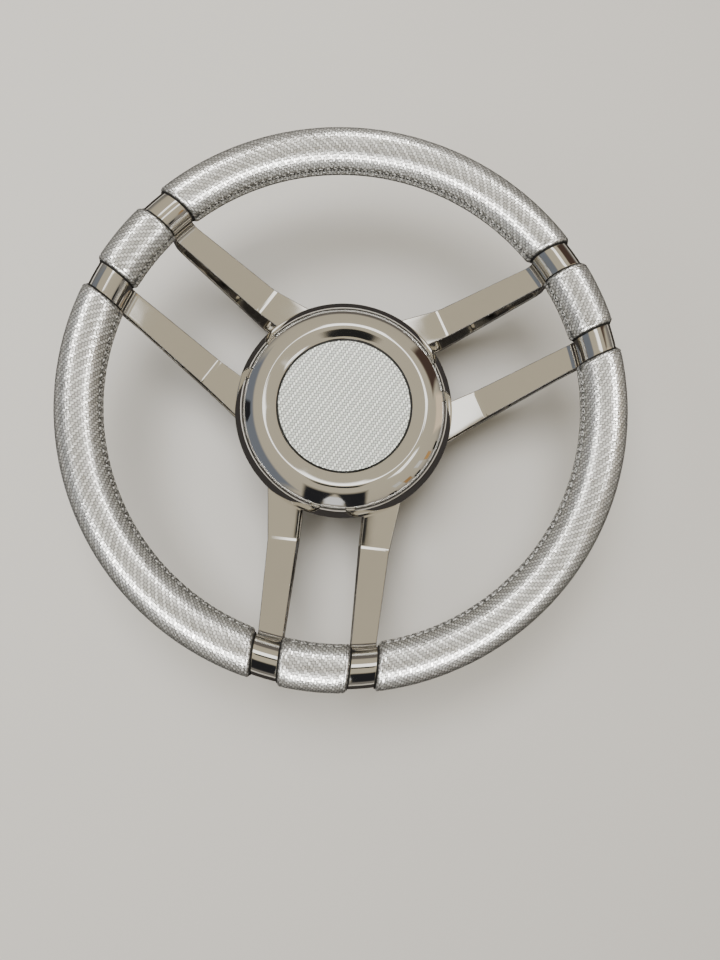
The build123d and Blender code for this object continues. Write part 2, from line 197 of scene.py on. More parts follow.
# ---------------------------------------------------------------- material helpers
class Nodes:
    """Builds a material's node tree, one node for each call."""

    def __init__(self, name):
        self.material = bpy.data.materials.new(name)
        self.material.use_nodes = True
        self.tree = self.material.node_tree
        self.shader = next(node for node in self.tree.nodes if node.type == "BSDF_PRINCIPLED")

    def add(self, kind, inputs=None, output=0, **settings):
        """Adds a node, fills its inputs with numbers or other nodes' outputs, and returns one output."""
        node = self.tree.nodes.new(kind)
        for key, value in settings.items():
            setattr(node, key, value)
        for key, value in (inputs or {}).items():
            self.fill(node.inputs[key], value)
        return node.outputs[output]

    def fill(self, socket, value):
        """Links a socket or sets its number."""
        if isinstance(value, bpy.types.NodeSocket):
            self.tree.links.new(value, socket)
        else:
            socket.default_value = value

    def set(self, **values):
        """Fills the shader's own sockets. Underscores stand for spaces."""
        for key, value in values.items():
            self.fill(self.shader.inputs[key.replace("_", " ")], value)
        return self.material

    def math(self, operation, first, second=0.0, third=0.0, clamp=False):
        inputs = {0: first, 1: second, 2: third}
        return self.add("ShaderNodeMath", inputs, operation=operation, use_clamp=clamp)

    def surface(self):
        """The surface's own millimetres, along and across, as two outputs."""
        uv = self.add("ShaderNodeUVMap", uv_map="surface")
        split = self.tree.nodes.new("ShaderNodeSeparateXYZ")
        self.tree.links.new(uv, split.inputs[0])
        return split.outputs[0], split.outputs[1]

    def join(self, x, y, z=0.0):
        return self.add("ShaderNodeCombineXYZ", {0: x, 1: y, 2: z})

    def noise(self, vector, scale, detail=3.0, roughness=0.5):
        inputs = {"Vector": vector, "Scale": scale, "Detail": detail, "Roughness": roughness}
        return self.add("ShaderNodeTexNoise", inputs, noise_dimensions="3D")

    def place(self):
        """The point's place in its own object's coordinates, in metres."""
        return self.add("ShaderNodeTexCoord", output=3)

    def spread(self, value, low, high, to_low, to_high):
        """Maps a value from one range to another, held at the ends."""
        inputs = {"Value": value, "From Min": low, "From Max": high, "To Min": to_low, "To Max": to_high}
        return self.add("ShaderNodeMapRange", inputs)

    def mix(self, share, first, second):
        """A colour between two others."""
        node = self.tree.nodes.new("ShaderNodeMix")
        node.data_type = "RGBA"
        for socket, value in ((node.inputs[0], share), (node.inputs[6], first), (node.inputs[7], second)):
            self.fill(socket, value)
        return node.outputs[2]

    def bump(self, height, depth, strength=1.0, normal=None):
        inputs = {"Height": height, "Distance": depth * MM, "Strength": strength}
        if normal is not None:
            inputs["Normal"] = normal
        return self.add("ShaderNodeBump", inputs)


def twill(nodes, along, across):
    """A two-over-two twill on coordinates in yarns.

    Returns its height, whether the lengthwise yarn is on top, and a random tone for each float.
    """
    column = nodes.math("FLOOR", along)
    row = nodes.math("FLOOR", across)
    phase_up = nodes.math("FLOORED_MODULO", nodes.math("ADD", column, across), 4.0)
    phase_over = nodes.math("FLOORED_MODULO", nodes.math("ADD", along, row), 4.0)
    cell = nodes.math("FLOORED_MODULO", nodes.math("ADD", column, row), 4.0)
    up = nodes.math("LESS_THAN", cell, 1.5)

    def pillow(share_across, share_along):
        side = nodes.math("SINE", nodes.math("MULTIPLY", share_across, pi))
        end = nodes.math("SINE", nodes.math("MULTIPLY", share_along, pi))
        round_side = nodes.math("POWER", side, 0.3)
        round_end = nodes.math("POWER", end, 0.8)
        return nodes.math("MULTIPLY", round_side, round_end, clamp=True)

    up_height = pillow(nodes.math("FRACT", along), nodes.math("MULTIPLY", phase_up, 0.5))
    over_height = pillow(nodes.math("FRACT", across), nodes.math("MULTIPLY_ADD", phase_over, 0.5, -1.0))
    height = nodes.add("ShaderNodeMix", {0: up, 2: over_height, 3: up_height}, data_type="FLOAT")
    up_start = nodes.math("ROUND", nodes.math("SUBTRACT", across, phase_up))
    over_start = nodes.math("ROUND", nodes.math("SUBTRACT", along, phase_over))
    seed_x = nodes.add("ShaderNodeMix", {0: up, 2: over_start, 3: column}, data_type="FLOAT")
    seed_y = nodes.add("ShaderNodeMix", {0: up, 2: row, 3: up_start}, data_type="FLOAT")
    tone = nodes.add("ShaderNodeTexWhiteNoise", {"Vector": nodes.join(seed_x, seed_y, up)})
    return height, up, tone


# ---------------------------------------------------------------- materials
def twill_material(
    name, lit_float_colour, shaded_float_colour, gap_shade, roughness, relief, metallic, turn=0.0, mirrored=False, seam=None
):
    """Silver coated twill: raised floats with a little random tone, the lengthwise ones painted lighter as
    a painted sheen.

    The relief is in millimetres. The turn and the mirroring set which way the weave's ribs run.
    A seam, this many millimetres across the surface, shows its dark backing and painted shade between two
    turned edges.
    """
    nodes = Nodes(name)
    x, y = nodes.surface()
    along = nodes.math("MULTIPLY", x, 1 / yarn_pitch)
    across = nodes.math("MULTIPLY", y, 1 / yarn_pitch)
    if turn:
        ahead = nodes.math("MULTIPLY_ADD", along, cos(turn), nodes.math("MULTIPLY", across, sin(turn)))
        across = nodes.math("MULTIPLY_ADD", across, cos(turn), nodes.math("MULTIPLY", along, -sin(turn)))
        along = ahead
    if mirrored:
        across = nodes.math("MULTIPLY", across, -1.0)
    height, up, tone = twill(nodes, along, across)
    # Painted sheen: the lengthwise floats get the lighter colour and the crosswise floats the darker one.
    base = nodes.mix(up, shaded_float_colour, lit_float_colour)
    varied = nodes.mix(nodes.math("MULTIPLY", tone, 0.12), base, (0.95, 0.95, 0.93, 1))
    # Painted shade: the colour darkens where the weave dips between floats.
    colour = nodes.mix(nodes.spread(height, 0.25, 0.8, 1.0, 0.0), varied, gap_shade)
    wear = nodes.noise(nodes.place(), 60.0)
    worn_rough = nodes.spread(wear, 0.3, 0.7, roughness, roughness + 0.03)
    rough = nodes.math("MULTIPLY_ADD", tone, 0.08, worn_rough)
    if seam is not None:
        reach = nodes.math("ABSOLUTE", nodes.math("SUBTRACT", y, seam))
        far_reach = nodes.math("ABSOLUTE", nodes.math("SUBTRACT", y, seam + tau * grip_radius))
        # Darker near the seam: partly its dark backing between the edges, partly painted shade in its
        # groove.
        seam_backing_and_shade = nodes.spread(nodes.math("MINIMUM", reach, far_reach), 0.6, 1.5, 1.0, 0.0)
        colour = nodes.mix(seam_backing_and_shade, colour, (0.09, 0.09, 0.087, 1))
        rough = nodes.math("MULTIPLY_ADD", seam_backing_and_shade, 0.3, rough)
    grains_per_yarn = 9.0
    grain_x = nodes.math("MULTIPLY", along, grains_per_yarn)
    grain_y = nodes.math("MULTIPLY", across, grains_per_yarn)
    grain = nodes.noise(nodes.join(grain_x, grain_y), 1.0, 2.0)
    relief_height = nodes.math("MULTIPLY_ADD", grain, 0.1, height)
    return nodes.set(
        Base_Color=colour,
        Roughness=rough,
        Metallic=metallic,
        Coat_Weight=0.4,
        Coat_Roughness=0.25,
        Normal=nodes.bump(relief_height, relief),
    )


def polished_material(name, colour, roughness=0.035):
    """Mirror-polished metal with the faintest smears, slow waves and a very fine grain."""
    nodes = Nodes(name)
    place = nodes.place()
    smear = nodes.noise(place, 22.0, 4.0, 0.6)
    fine = nodes.noise(place, 900.0, 2.0)
    rough = nodes.spread(smear, 0.35, 0.75, roughness, roughness + 0.05)
    dulled = tuple(c * 0.96 for c in colour[:3]) + (1,)
    tint = nodes.mix(nodes.spread(smear, 0.3, 0.7, 0.0, 1.0), colour, dulled)
    waves = nodes.noise(place, 70.0, 1.0)
    waved = nodes.bump(waves, 0.05, 0.5)
    return nodes.set(
        Base_Color=tint,
        Metallic=1.0,
        Roughness=rough,
        Normal=nodes.bump(fine, 0.004, 0.25, waved),
    )


def turned_material(name, colour):
    """Machined aluminium with fine rings about the wheel's axis."""
    nodes = Nodes(name)
    place = nodes.place()
    split = nodes.tree.nodes.new("ShaderNodeSeparateXYZ")
    nodes.tree.links.new(place, split.inputs[0])
    squares = [nodes.math("POWER", split.outputs[axis], 2.0) for axis in (0, 1)]
    reach = nodes.math("SQRT", nodes.math("ADD", *squares))
    lines = nodes.noise(nodes.join(reach, 0.0, split.outputs[2]), 4000.0, 2.0)
    stain = nodes.noise(place, 35.0, 4.0)
    stained = tuple(c * 0.8 for c in colour[:3]) + (1,)
    tint = nodes.mix(nodes.spread(stain, 0.35, 0.7, 0.0, 1.0), colour, stained)
    return nodes.set(
        Base_Color=tint,
        Metallic=1.0,
        Roughness=nodes.spread(lines, 0.3, 0.7, 0.22, 0.36),
        Normal=nodes.bump(lines, 0.01, 0.5),
    )


def plain_material(name, colour, worn, roughness, metallic=0.0, grain=0.02, scale=400.0):
    """A plain plastic, foam, rubber or steel surface, with fine grain and slightly uneven tone."""
    nodes = Nodes(name)
    place = nodes.place()
    patches = nodes.noise(place, 45.0, 4.0)
    fine = nodes.noise(place, scale, 3.0)
    return nodes.set(
        Base_Color=nodes.mix(nodes.spread(patches, 0.35, 0.7, 0.0, 1.0), colour, worn),
        Metallic=metallic,
        Roughness=nodes.spread(patches, 0.3, 0.7, roughness, roughness + 0.1),
        Normal=nodes.bump(fine, grain, 0.6),
    )


def thread_material():
    """Waxed silver-grey thread, with the twist of its plies."""
    nodes = Nodes("thread")
    x, y = nodes.surface()
    slant = nodes.math("ADD", nodes.math("MULTIPLY", x, 7.0), nodes.math("MULTIPLY", y, 3.0))
    twist = nodes.math("SINE", slant)
    # Painted shade and highlight: darker where the twist dips between plies, lighter on their crests.
    share = nodes.spread(twist, -1.0, 1.0, 0.0, 1.0)
    tint = nodes.mix(share, (0.45, 0.45, 0.44, 1), (0.85, 0.85, 0.83, 1))
    return nodes.set(Base_Color=tint, Roughness=0.5, Normal=nodes.bump(twist, 0.06))


# Each twill's first colours are the lighter and darker floats of its painted sheen, then the painted shade
# between floats.
wrap_material = twill_material(
    "silver_twill_wrap",
    (0.78, 0.78, 0.765, 1),
    (0.5, 0.5, 0.485, 1),
    (0.2, 0.198, 0.19, 1),
    0.26,
    0.08,
    0.82,
    seam=0.0,
)
insert_material = twill_material(
    "silver_twill_insert",
    (0.96, 1.0, 0.965, 1),
    (0.62, 0.66, 0.635, 1),
    (0.18, 0.19, 0.185, 1),
    0.28,
    0.1,
    0.5,
    insert_weave_turn,
    True,
)
strap_material = polished_material("polished_steel", (0.86, 0.845, 0.81, 1))
bezel_material = polished_material("polished_bezel", (0.87, 0.86, 0.84, 1), 0.025)
hub_material = turned_material("turned_aluminium", (0.62, 0.62, 0.61, 1))
foam_material = plain_material("core_foam", (0.1, 0.1, 0.1, 1), (0.07, 0.07, 0.07, 1), 0.8)
gasket_material = plain_material("black_rubber", (0.012, 0.012, 0.012, 1), (0.03, 0.03, 0.03, 1), 0.55)
cap_material = plain_material(
    "black_plastic", (0.01, 0.01, 0.01, 1), (0.018, 0.018, 0.018, 1), 0.25, 0.0, 0.006, 900.0
)
screw_material = plain_material("screw_steel", (0.3, 0.3, 0.3, 1), (0.42, 0.42, 0.41, 1), 0.3, 1.0, 0.01)
ring_material = plain_material("ring_steel", (0.3, 0.3, 0.31, 1), (0.4, 0.4, 0.4, 1), 0.45, 1.0, 0.02)
seam_thread = thread_material()


# ---------------------------------------------------------------- grips
def end_turn(offset, reach):
    """The angle about the axis, from a spoke pair's direction, to a point at this offset and reach."""
    return asin(offset / reach)


def wrap_depth(across, along):
    """How far the wrap's surface sinks, this far across the seam and along it, with one pucker a stitch."""
    nearness = exp(-((across / seam_half_width) ** 2))
    groove = seam_depth * nearness
    lip_height = seam_lower_lip if across > 0 else seam_upper_lip
    lip = lip_height * exp(-(((abs(across) - 1.9 * seam_half_width) / (0.8 * seam_half_width)) ** 2))
    pucker = 0.14 * exp(-((across / (2.6 * seam_half_width)) ** 2)) * cos(tau * along / stitch_pitch)
    return groove - lip + pucker


def section_angles():
    """Angles round the grip's section, closer together near the seam, from the seam once round."""
    near_seam = (0.0, 0.35, 0.7, 1.05, 1.4, 1.8, 2.3, 2.9, 3.6, 4.4, 5.4)
    angles = [step / grip_radius for step in near_seam]
    rest = 66
    first, last = angles[-1], tau - angles[-1]
    angles += [first + (last - first) * step / rest for step in range(1, rest)]
    angles += [tau - step / grip_radius for step in reversed(near_seam[1:])]
    return [seam_angle + angle for angle in angles]


class Grip:
    """One padded length of rim between two planes beside spoke pairs."""

    def __init__(self, name, start_angle, start_offset, end_angle, end_offset):
        self.name = name
        self.start = (radians(start_angle), start_offset)
        self.end = (radians(end_angle), end_offset)
        self.length = rim_radius * (self.turn_at(1.0, rim_radius) - self.turn_at(0.0, rim_radius))

    def turn_at(self, share, reach, inset=0.0):
        """The angle about the axis at a share of the way along, at this reach from the axis."""
        start = self.start[0] + end_turn(self.start[1] + inset, reach)
        end = self.end[0] + end_turn(self.end[1] - inset, reach)
        return start + (end - start) * share

    def point(self, share, radius, angle, inset=0.0):
        """A point at a share of the way along, on a circle of this radius round the rim's centre line."""
        reach = rim_radius + radius * cos(angle)
        turn = self.turn_at(share, reach, inset)
        return reach * cos(turn), reach * sin(turn), rim_height + radius * sin(angle)

    def build_wrap(self):
        """The wrap: a skin over the foam, with rounded ends and a puckered seam."""
        angles = section_angles()
        inner_radius = grip_radius - wrap_thickness
        hole = ring_radius + fit_gap
        round_steps = 6
        rings = [(0.0, 0.0, hole, False), (0.0, 0.0, (hole + grip_radius - grip_end_round) / 2, False)]
        for step in range(round_steps):
            lift = radians(90 * step / round_steps)
            inset = grip_end_round * (1 - sin(lift))
            radius = grip_radius - grip_end_round * (1 - cos(lift))
            rings.append((0.0, inset, radius, True))
        count = ceil((self.length - 2 * grip_end_round) / 1.3)
        rings += [(step / count, grip_end_round, grip_radius, True) for step in range(1, count)]
        rings += [(1.0, *ring[1:]) for ring in reversed(rings[: round_steps + 2])]
        inside = ceil(count / 5)
        inner_end = inner_radius - grip_end_round + wrap_thickness
        rings += [(1.0, wrap_thickness, hole, False), (1.0, wrap_thickness, inner_end, False)]
        rings += [(1 - step / inside, grip_end_round, inner_radius, False) for step in range(inside + 1)]
        rings += [(0.0, wrap_thickness, inner_end, False), (0.0, wrap_thickness, hole, False)]
        points = []
        lengths = []
        for share, inset, radius, outside in rings:
            along = self.length * share + inset * (1 - 2 * share)
            lengths.append(along)
            for angle in angles:
                across = (angle - seam_angle + pi) % tau - pi
                sunk = wrap_depth(across * grip_radius, along) if outside else 0.0
                points.append(self.point(share, radius - sunk, angle, inset))
        faces, corners = grid(len(rings), len(angles), True, True)
        lengths.append(lengths[0])
        round_way = [(angle - seam_angle) * grip_radius for angle in angles] + [tau * grip_radius]
        uvs = [(lengths[row], round_way[column]) for row, column in corners]
        wrap = make_piece(f"wrap_{self.name}", points, faces, wrap_material, "wheel", uvs)
        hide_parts(f"grip_wrap_{self.name}")

    def thread(self, points, faces, uvs, start, end, lift):
        """Adds one stitch from one (along, across) to another, arched over the surface."""
        steps = 8
        sides = 7
        first = len(points)
        sunk = 0.9
        for step in range(steps + 1):
            share = step / steps
            along = start[0] + (end[0] - start[0]) * share
            across = start[1] + (end[1] - start[1]) * share
            arch = sin(pi * share) ** 0.6
            level = grip_radius - sunk * (1 - arch) + lift * arch
            angle = seam_angle + across / grip_radius
            share_along = along / self.length
            middle = Vector(self.point(share_along, level, angle))
            ahead = Vector(self.point(share_along, level, angle + 0.001)) - middle
            turn = self.turn_at(share_along, rim_radius)
            forward = Vector((-sin(turn), cos(turn), 0))
            heading = forward * (end[0] - start[0]) + ahead.normalized() * (end[1] - start[1])
            heading.normalize()
            upward = Vector((cos(turn) * cos(angle), sin(turn) * cos(angle), sin(angle)))
            sideways = heading.cross(upward).normalized()
            thick = thread_radius * (0.75 + 0.25 * sin(pi * share))
            for side in range(sides):
                spin = tau * side / sides
                points.append(tuple(middle + (sideways * cos(spin) + upward * sin(spin)) * thick))
        quads, corners = grid(steps + 1, sides, False, True, first)
        faces.extend(quads)
        uvs.extend((row * 0.6, column * 0.9) for row, column in corners)
        start_cap = [first + side for side in reversed(range(sides))]
        end_cap = [first + steps * sides + side for side in range(sides)]
        for cap in (start_cap, end_cap):
            faces.append(cap)
            uvs.extend((0.0, 0.0) for _ in cap)

    def build_stitches(self):
        """Lacing that crosses the seam, with a row of stitches along each of its lips."""
        points, faces, uvs = [], [], []
        margin = 1.6 * grip_end_round
        count = floor((self.length - 2 * margin) / stitch_pitch)
        first = (self.length - count * stitch_pitch) / 2
        row = 1.45 * seam_half_width
        for index in range(count):
            here = first + index * stitch_pitch
            reach = 0.82 * stitch_pitch
            self.thread(points, faces, uvs, (here, row + 0.35), (here + reach, row - 0.35), 0.1)
            self.thread(points, faces, uvs, (here, -row + 0.35), (here + reach, -row - 0.35), 0.1)
            lace_start = (here + 0.2, -row + 0.4)
            lace_turn = (here + stitch_pitch / 2, row - 0.5)
            lace_end = (here + stitch_pitch - 0.2, -row + 0.4)
            self.thread(points, faces, uvs, lace_start, lace_turn, -0.45)
            self.thread(points, faces, uvs, lace_turn, lace_end, -0.45)
        stitches = make_piece(f"stitches_{self.name}", points, faces, seam_thread, "wheel", uvs)


short_edge = strap_inner_edge - gasket_thickness
long_edge = strap_outer_edge + gasket_thickness
for pair_name, pair_angle, span_name in spoke_pairs:
    short_grip = Grip(f"short_{pair_name}", pair_angle, -short_edge, pair_angle, short_edge)
    long_grip = Grip(f"long_{span_name}", pair_angle, long_edge, pair_angle + 120, -long_edge)
    for grip in (short_grip, long_grip):
        grip.build_wrap()
        grip.build_stitches()


# ---------------------------------------------------------------- spokes
def blend_arc(start, run, facing, radius, middle):
    """Ends and centre of the blend between a face, through start and along run, and the collar's circle."""
    along = (middle - start).dot(run)
    above = (middle - start).dot(facing)
    reach = sqrt((collar_radius + radius) ** 2 - (radius - above) ** 2)
    centre = start + run * (along - reach) + facing * radius
    on_face = centre - facing * radius
    on_collar = centre + (middle - centre).normalized() * radius
    return on_face, on_collar, centre


def sweep_between(centre, start, end, steps, long_way=False):
    """Points along the arc about a centre from one point to another."""
    first = atan2(start.y - centre.y, start.x - centre.x)
    last = atan2(end.y - centre.y, end.x - centre.x)
    turn = (last - first + pi) % tau - pi
    if long_way:
        turn -= tau if turn > 0 else -tau
    radius = (start - centre).length
    angles = [first + turn * step / steps for step in range(steps + 1)]
    return [Vector((centre.x + radius * cos(angle), centre.y + radius * sin(angle))) for angle in angles]


def corner_arc(before, corner, after, radius, steps):
    """A rounded corner of an outline."""
    back = (before - corner).normalized()
    ahead = (after - corner).normalized()
    half = back.angle(ahead) / 2
    centre = corner + (back + ahead).normalized() * (radius / sin(half))
    trim = radius / tan(half)
    return sweep_between(centre, corner + back * trim, corner + ahead * trim, steps)


def straight(start, end, steps):
    """Points strictly between two others."""
    return [start.lerp(end, step / steps) for step in range(1, steps)]


def strap_outline(across):
    """The spoke's outline from the side, as (out, up) points, and the collar's centre, this far across."""
    bend_top = Vector((bend_out, upper_tab_top))
    bend_low = Vector((bend_out, lower_tab_bottom))
    run_up = Vector((1, upper_slope)).normalized()
    wall_low = Vector((wall_out, lower_tab_bottom + lower_slope * (wall_out - bend_out)))
    middle = Vector((sqrt(rim_radius**2 - across**2), rim_height))
    face = blend_arc(bend_top, run_up, Vector((-run_up.y, run_up.x)), face_blend, middle)
    wall = blend_arc(wall_low, Vector((0, 1)), Vector((1, 0)), wall_blend, middle)
    tab_top = Vector((tab_end_out, upper_tab_top))
    tab_low = Vector((tab_end_out, lower_tab_bottom))
    # The faces that look outwards, from the upper tab round the collar and back along the underside
    outline = [tab_top, *straight(tab_top, bend_top, 6)[:-1]]
    outline += corner_arc(tab_top, bend_top, face[0], bend_round, 8)
    outline += straight(outline[-1], face[0], 8)
    outline += sweep_between(face[2], face[0], face[1], 12)
    outline += sweep_between(middle, face[1], wall[1], 48, long_way=True)[1:]
    outline += sweep_between(wall[2], wall[1], wall[0], 8)[1:]
    corner = corner_arc(wall[0], wall_low, bend_low, loop_corner, 10)
    outline += straight(wall[0], corner[0], 4)
    outline += corner
    low_bend = corner_arc(wall_low, bend_low, tab_low, bend_round, 8)
    outline += straight(corner[-1], low_bend[0], 8)
    outline += low_bend
    outline += straight(low_bend[-1], tab_low, 5)
    outline.append(tab_low)
    # The faces that look into the loop
    inner_slope_top = strap_thickness * sqrt(1 + upper_slope**2)
    inner_slope_low = strap_thickness * sqrt(1 + lower_slope**2)

    def under(out):
        return upper_tab_top - inner_slope_top + upper_slope * (out - bend_out)

    def over(out):
        return lower_tab_bottom + inner_slope_low + lower_slope * (out - bend_out)

    inner_wall = wall_out - strap_thickness
    upper_level = upper_tab_top - strap_thickness
    lower_level = lower_tab_bottom + strap_thickness
    bend_under = Vector((bend_out + (inner_slope_top - strap_thickness) / upper_slope, upper_level))
    bend_over = Vector((bend_out - (inner_slope_low - strap_thickness) / lower_slope, lower_level))
    low_start = Vector((tab_end_out, lower_level))
    low_corner = Vector((inner_wall, over(inner_wall)))
    top_corner = Vector((inner_wall, under(inner_wall)))
    top_end = Vector((tab_end_out, upper_level))
    low_bend = corner_arc(low_start, bend_over, low_corner, bend_round - strap_thickness, 8)
    corner = corner_arc(bend_over, low_corner, top_corner, loop_corner - strap_thickness, 8)
    top_corner_arc = corner_arc(low_corner, top_corner, bend_under, 1.0, 4)
    top_bend = corner_arc(top_corner, bend_under, top_end, bend_round + strap_thickness, 8)
    outline += [low_start, *straight(low_start, low_bend[0], 5), *low_bend]
    outline += [*straight(low_bend[-1], corner[0], 8), *corner]
    outline += [*straight(corner[-1], top_corner_arc[0], 4), *top_corner_arc]
    outline += [*straight(top_corner_arc[-1], top_bend[0], 8), *top_bend]
    outline += [*straight(top_bend[-1], top_end, 5), top_end]
    return outline, middle


def outer_edge_at(out):
    """How far the strap's outer edge lies from the pair's centre line."""
    if out > rim_face_end:
        return strap_outer_edge
    near, far = (tab_end_out, hub_outer_edge), (bend_out, bend_outer_edge)
    if out > bend_out:
        near, far = far, (rim_face_end, strap_outer_edge)
    return near[1] + (far[1] - near[1]) * (out - near[0]) / (far[0] - near[0])


def shrink(outline, amount):
    """Moves a closed outline's points inwards along its own normals."""
    moved = []
    for index, point in enumerate(outline):
        before = outline[index - 1]
        after = outline[(index + 1) % len(outline)]
        first = (point - before).normalized()
        second = (after - point).normalized()
        normal = Vector((-(first.y + second.y), first.x + second.x)).normalized()
        stretch = max(0.5, Vector((-first.y, first.x)).dot(normal))
        moved.append(point - normal * (amount / stretch))
    return moved


def build_spoke(name, pair_angle, side):
    """One polished strap spoke with rounded edges, as a lattice of outlines across its width."""
    outwards = Vector((cos(radians(pair_angle)), sin(radians(pair_angle)), 0))
    sideways = Vector((-outwards.y, outwards.x, 0)) * side
    edge_steps = 4
    # (share of the way across, distance added to it, how far the outline shrinks)
    lifts = [radians(90 * step / edge_steps) for step in range(edge_steps + 1)]
    levels = [(0.0, edge_round * (1 - cos(lift)), edge_round * (1 - sin(lift))) for lift in lifts]
    middle_steps = 8
    for step in range(1, middle_steps):
        levels.append((step / middle_steps, edge_round * (1 - 2 * step / middle_steps), 0.0))
    levels += [(1.0, -inward, shrunk) for _, inward, shrunk in reversed(levels[: edge_steps + 1])]
    points = []
    hole_points = []
    hole_sides = 40
    for share, inward, shrunk in levels:
        across = strap_inner_edge + (strap_outer_edge - strap_inner_edge) * share + inward
        outline, middle = strap_outline(across)
        for point in shrink(outline, shrunk):
            edge = strap_inner_edge + (outer_edge_at(point.x) - strap_inner_edge) * share + inward
            points.append(outwards * point.x + sideways * edge + Vector((0, 0, point.y)))
        for step in range(hole_sides):
            spin = tau * step / hole_sides
            out = middle.x + (ring_radius + fit_gap) * cos(spin)
            up = middle.y + (ring_radius + fit_gap) * sin(spin)
            hole_points.append(outwards * out + sideways * across + Vector((0, 0, up)))
    count = len(points) // len(levels)
    faces = grid(len(levels), count, False, True)[0]
    hole_first = len(points)
    hole_faces = grid(len(levels), hole_sides, False, True, hole_first)[0]
    faces += [list(reversed(face)) for face in hole_faces]
    points += hole_points
    for level in (0, len(levels) - 1):
        outer = list(range(level * count, (level + 1) * count))
        inner = [hole_first + level * hole_sides + step for step in range(hole_sides)]
        loops = [[points[index] for index in outer], [points[index] for index in inner]]
        flat = [[Vector((p.dot(outwards), p.z, 0)) for p in loop] for loop in loops]
        numbers = outer + inner
        for triangle in tessellate_polygon(flat):
            face = [numbers[index] for index in triangle]
            a, b, c = (Vector(points[index]) for index in face)
            facing = (b - a).cross(c - a).dot(sideways) * (1 if level else -1)
            faces.append(face if facing > 0 else list(reversed(face)))
    # On this side of the pair the lattice runs the other way round, so its faces are turned over
    if side > 0:
        sides_only = (len(levels) - 1) * (count + hole_sides)
        faces = [list(reversed(face)) for face in faces[:sides_only]] + faces[sides_only:]
    spoke = make_piece(f"strap_{name}", [tuple(p) for p in points], faces, strap_material, "wheel")
    keep_faces_flat(spoke, radians(40))
    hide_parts(f"spoke_{name}")


for pair_name, pair_angle, span_name in spoke_pairs:
    for side, hand in ((-1, "a"), (1, "b")):
        build_spoke(f"{pair_name}_{hand}", pair_angle, side)


# ---------------------------------------------------------------- bezel, cap and insert
def build_bezel():
    """The domed bezel: a shoulder that rises to a ridge, then a shallow dish down to the cap."""
    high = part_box("hub_bezel")[1]
    widest = high.x / MM
    ridge_height = high.z / MM
    foot_height = upper_tab_top + 0.3
    foot, widest_height, ridge, bore, lip_height = 69.2, 64.0, 51.0, 43.0, 79.1
    wall, ledge_bore, ledge_top = 3.5, 37.0, 68.1
    front_plate_top = 56.0
    inner_wall = bore + wall
    reach, rise = widest - ridge, ridge_height - widest_height
    outline = [(foot, foot_height)]
    outline += arc((ridge, widest_height), reach, 0, 86, 40, rise / reach)
    for out, drop in ((0.5, 0.01), (0.0, 0.05), (-0.6, 0.17)):
        outline.append((ridge + out, ridge_height - drop))
    slope = (ridge_height - lip_height) / (ridge - bore)
    for step in range(1, 8):
        r = ridge - 0.6 - (ridge - bore - 1.0) * step / 8
        outline.append((r, ridge_height - (ridge - r) * slope))
    outline += arc((bore + 0.4, lip_height - 0.4), 0.4, 90, 180, 4)
    outline += [(bore, ledge_top), (ledge_bore, ledge_top)]
    outline += [(ledge_bore, front_plate_top), (inner_wall, front_plate_top)]
    outline += [(inner_wall, lip_height - wall), (ridge, ridge_height - wall)]
    outline += arc((ridge, widest_height), reach - wall, 86, 0, 20, (rise - wall) / (reach - wall))
    outline += [(foot - wall, foot_height)]
    bezel = lathe("bezel_dome", outline, bezel_material, "wheel", 320)
    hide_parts("hub_bezel")


def build_insert():
    """The centre insert: a disc of silver twill with a softened rim, lying in the cap's lip."""
    low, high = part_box("cap_insert")
    radius = high.x / MM
    bottom, top = low.z / MM, high.z / MM
    rings = [(radius, bottom), (radius, top - 0.5), (radius - 0.15, top - 0.15), (radius - 0.5, top)]
    rings += [(radius * share, top) for share in (0.9, 0.75, 0.6, 0.45, 0.3, 0.15)]
    turns = 128
    points = []
    angles = [tau * step / turns for step in range(turns)]
    for r, z in rings:
        points.extend((r * cos(angle), r * sin(angle), z) for angle in angles)
    faces = grid(len(rings), turns, False, True)[0]
    points += [(0, 0, top), (0, 0, bottom)]
    for step in range(turns):
        after = (step + 1) % turns
        last = (len(rings) - 1) * turns
        faces.append([last + step, last + after, len(points) - 2])
        faces.append([after, step, len(points) - 1])
    uvs = [(points[index][0], points[index][1]) for face in faces for index in face]
    insert = make_piece("insert_twill", points, faces, insert_material, "cap", uvs)
    keep_faces_flat(insert)
    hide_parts("cap_insert")


build_bezel()
build_insert()

# ---------------------------------------------------------------- CAD pieces that stay
kept = {
    "rim_ring": ring_material,
    "foam_core": foam_material,
    "grip_end_gaskets": gasket_material,
    "cap_seal": gasket_material,
    "centre_cap": cap_material,
    "hub_drum": hub_material,
    "hub_front_plate": hub_material,
    "hub_boss": hub_material,
    "front_tab_screws": screw_material,
    "rear_tab_screws": screw_material,
    "bezel_screws": screw_material,
}
for node_name, node in frame["nodes"].items():
    for start, material in kept.items():
        if node_name.startswith(start):
            node.data.materials.clear()
            node.data.materials.append(material)


# ---------------------------------------------------------------- floor, lights and camera
def stage_plane(name, centre, width, height, facing, material):
    """A rectangle of backdrop or card, turned to face this way."""
    corners = [(width / 2 * x, height / 2 * y, 0) for x, y in ((-1, -1), (1, -1), (1, 1), (-1, 1))]
    mesh = bpy.data.meshes.new(name)
    mesh.from_pydata(corners, [], [[0, 1, 2, 3]])
    mesh.materials.append(material)
    plane = bpy.data.objects.new(name, mesh)
    turned = Vector(facing).to_track_quat("Z", "Y").to_matrix().to_4x4()
    plane.matrix_world = Matrix.Translation(centre) @ turned
    bpy.context.scene.collection.objects.link(plane)
    plane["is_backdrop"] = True
    return plane


